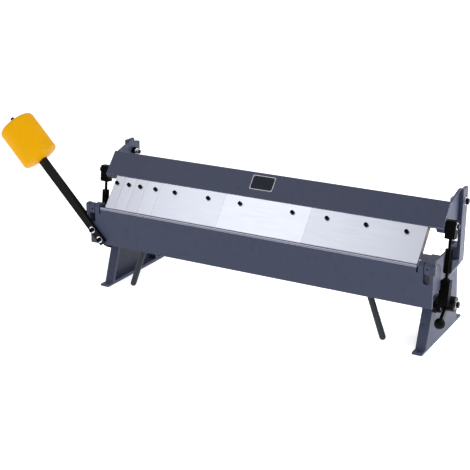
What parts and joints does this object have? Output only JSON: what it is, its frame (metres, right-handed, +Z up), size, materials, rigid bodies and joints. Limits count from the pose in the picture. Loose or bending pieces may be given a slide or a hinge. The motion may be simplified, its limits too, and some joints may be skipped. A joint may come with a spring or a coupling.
{
  "type": "box and pan brake",
  "caption": "Bench box and pan brake: clamping beam with removable fingers, swinging apron with two handles and a counterweight on an arm, and clamping levers with adjustable links.",
  "frame": {"origin": "middle of the four foot bolt holes, at the underside of the feet", "axes": "+X to the right seen from the front where the apron is, +Y to the rear, +Z up"},
  "size_m": [1.7659, 0.4695, 0.6348],
  "materials": {
    "left_frame": "satin paint",
    "right_frame": "satin paint",
    "bed": "satin paint",
    "bed_bar": "ground",
    "bed_bolts": "black oxide",
    "left_hinge_block": "satin paint",
    "right_hinge_block": "satin paint",
    "hinge_pins": "ground",
    "hinge_set_screws": "black oxide",
    "beam_pivot_bolts": "black oxide",
    "beam_pivot_washers": "bright",
    "beam_pivot_nuts": "bright",
    "post_lock_screws": "black oxide",
    "lever_pivot_bolts": "black oxide",
    "lever_pivot_washers": "bright",
    "lever_pivot_nuts": "black oxide",
    "beam_plate": "satin paint",
    "left_beam_end": "satin paint",
    "right_beam_end": "satin paint",
    "beam_stiffener": "satin paint",
    "clamp_rail": "bare rolled steel",
    "beam_bushes": "black oxide",
    "name_plate": "satin",
    "finger_1": "ground",
    "finger_2": "ground",
    "finger_3": "ground",
    "finger_4": "ground",
    "finger_5": "ground",
    "finger_6": "ground",
    "finger_7": "ground",
    "finger_screws": "black oxide",
    "link_upper_pins": "black oxide",
    "link_pin_washers": "bright",
    "left_upper_block": "black oxide",
    "left_upper_rod": "black oxide",
    "left_coupler": "black oxide",
    "left_lower_rod": "black oxide",
    "left_jam_nut": "bright",
    "left_lower_block": "black oxide",
    "left_lever": "black oxide",
    "left_lower_pin": "bright",
    "left_ball": "moulded",
    "right_upper_block": "black oxide",
    "right_upper_rod": "black oxide",
    "right_coupler": "black oxide",
    "right_lower_rod": "black oxide",
    "right_jam_nut": "bright",
    "right_lower_block": "black oxide",
    "right_lever": "black oxide",
    "right_lower_pin": "bright",
    "right_ball": "moulded",
    "apron": "satin paint",
    "apron_edge_bar": "ground",
    "left_handle": "black oxide",
    "right_handle": "black oxide",
    "counterweight_arm": "black oxide",
    "counterweight": "gloss paint",
    "weight_nut": "black oxide",
    "arm_bolts": "black oxide",
    "arm_washers": "bright"
  },
  "bodies": {
    "frame": {"left_frame": "left_frame", "right_frame": "right_frame", "bed": "bed", "bed_bar": "bed_bar", "bed_bolts": "bed_bolts", "left_hinge_block": "left_hinge_block", "right_hinge_block": "right_hinge_block", "hinge_pins": "hinge_pins", "hinge_set_screws": "hinge_set_screws", "beam_pivot_bolts": "beam_pivot_bolts", "beam_pivot_washers": "beam_pivot_washers", "beam_pivot_nuts": "beam_pivot_nuts", "post_lock_screws": "post_lock_screws", "lever_pivot_bolts": "lever_pivot_bolts", "lever_pivot_washers": "lever_pivot_washers", "lever_pivot_nuts": "lever_pivot_nuts"},
    "beam": {"beam_plate": "beam_plate", "left_beam_end": "left_beam_end", "right_beam_end": "right_beam_end", "beam_stiffener": "beam_stiffener", "clamp_rail": "clamp_rail", "beam_bushes": "beam_bushes", "name_plate": "name_plate", "finger_1": "finger_1", "finger_2": "finger_2", "finger_3": "finger_3", "finger_4": "finger_4", "finger_5": "finger_5", "finger_6": "finger_6", "finger_7": "finger_7", "finger_screws": "finger_screws", "link_upper_pins": "link_upper_pins", "link_pin_washers": "link_pin_washers"},
    "left_link": {"left_upper_block": "left_upper_block", "left_upper_rod": "left_upper_rod", "left_coupler": "left_coupler", "left_lower_rod": "left_lower_rod", "left_jam_nut": "left_jam_nut", "left_lower_block": "left_lower_block"},
    "left_clamp_lever": {"left_lever": "left_lever", "left_lower_pin": "left_lower_pin", "left_ball": "left_ball"},
    "right_link": {"right_upper_block": "right_upper_block", "right_upper_rod": "right_upper_rod", "right_coupler": "right_coupler", "right_lower_rod": "right_lower_rod", "right_jam_nut": "right_jam_nut", "right_lower_block": "right_lower_block"},
    "right_clamp_lever": {"right_lever": "right_lever", "right_lower_pin": "right_lower_pin", "right_ball": "right_ball"},
    "swinging_apron": {"apron": "apron", "apron_edge_bar": "apron_edge_bar", "left_handle": "left_handle", "right_handle": "right_handle", "counterweight_arm": "counterweight_arm", "counterweight": "counterweight", "weight_nut": "weight_nut", "arm_bolts": "arm_bolts", "arm_washers": "arm_washers"}
  },
  "joints": [
    {"name": "apron_swing", "type": "hinge", "parent": "frame", "child": "swinging_apron", "pos_m": [0, -0.193, 0.317], "axis": [-1, 0, 0], "range_deg": [0, 130]},
    {"name": "beam_lift", "type": "hinge", "parent": "frame", "child": "beam", "pos_m": [0, 0.063, 0.468], "axis": [-1, 0, 0], "range_deg": [0, 8.8]},
    {"name": "left_lever_turn", "type": "hinge", "parent": "frame", "child": "left_clamp_lever", "pos_m": [-0.6795, -0.07, 0.152], "axis": [-1, 0, 0], "range_deg": [0, 28]},
    {"name": "left_link_swing", "type": "hinge", "parent": "beam", "child": "left_link", "pos_m": [-0.6795, -0.079, 0.424], "axis": [-1, 0, 0], "range_deg": [-10.3, 0]},
    {"name": "right_lever_turn", "type": "hinge", "parent": "frame", "child": "right_clamp_lever", "pos_m": [0.6795, -0.07, 0.152], "axis": [-1, 0, 0], "range_deg": [0, 28]},
    {"name": "right_link_swing", "type": "hinge", "parent": "beam", "child": "right_link", "pos_m": [0.6795, -0.079, 0.424], "axis": [-1, 0, 0], "range_deg": [-10.3, 0]}
  ],
  "couplings": [
    {"joint": "left_lever_turn", "follows": "beam_lift", "ratio": 3.156},
    {"joint": "left_link_swing", "follows": "beam_lift", "ratio": -1.1585},
    {"joint": "right_lever_turn", "follows": "beam_lift", "ratio": 3.156},
    {"joint": "right_link_swing", "follows": "beam_lift", "ratio": -1.1585}
  ]
}
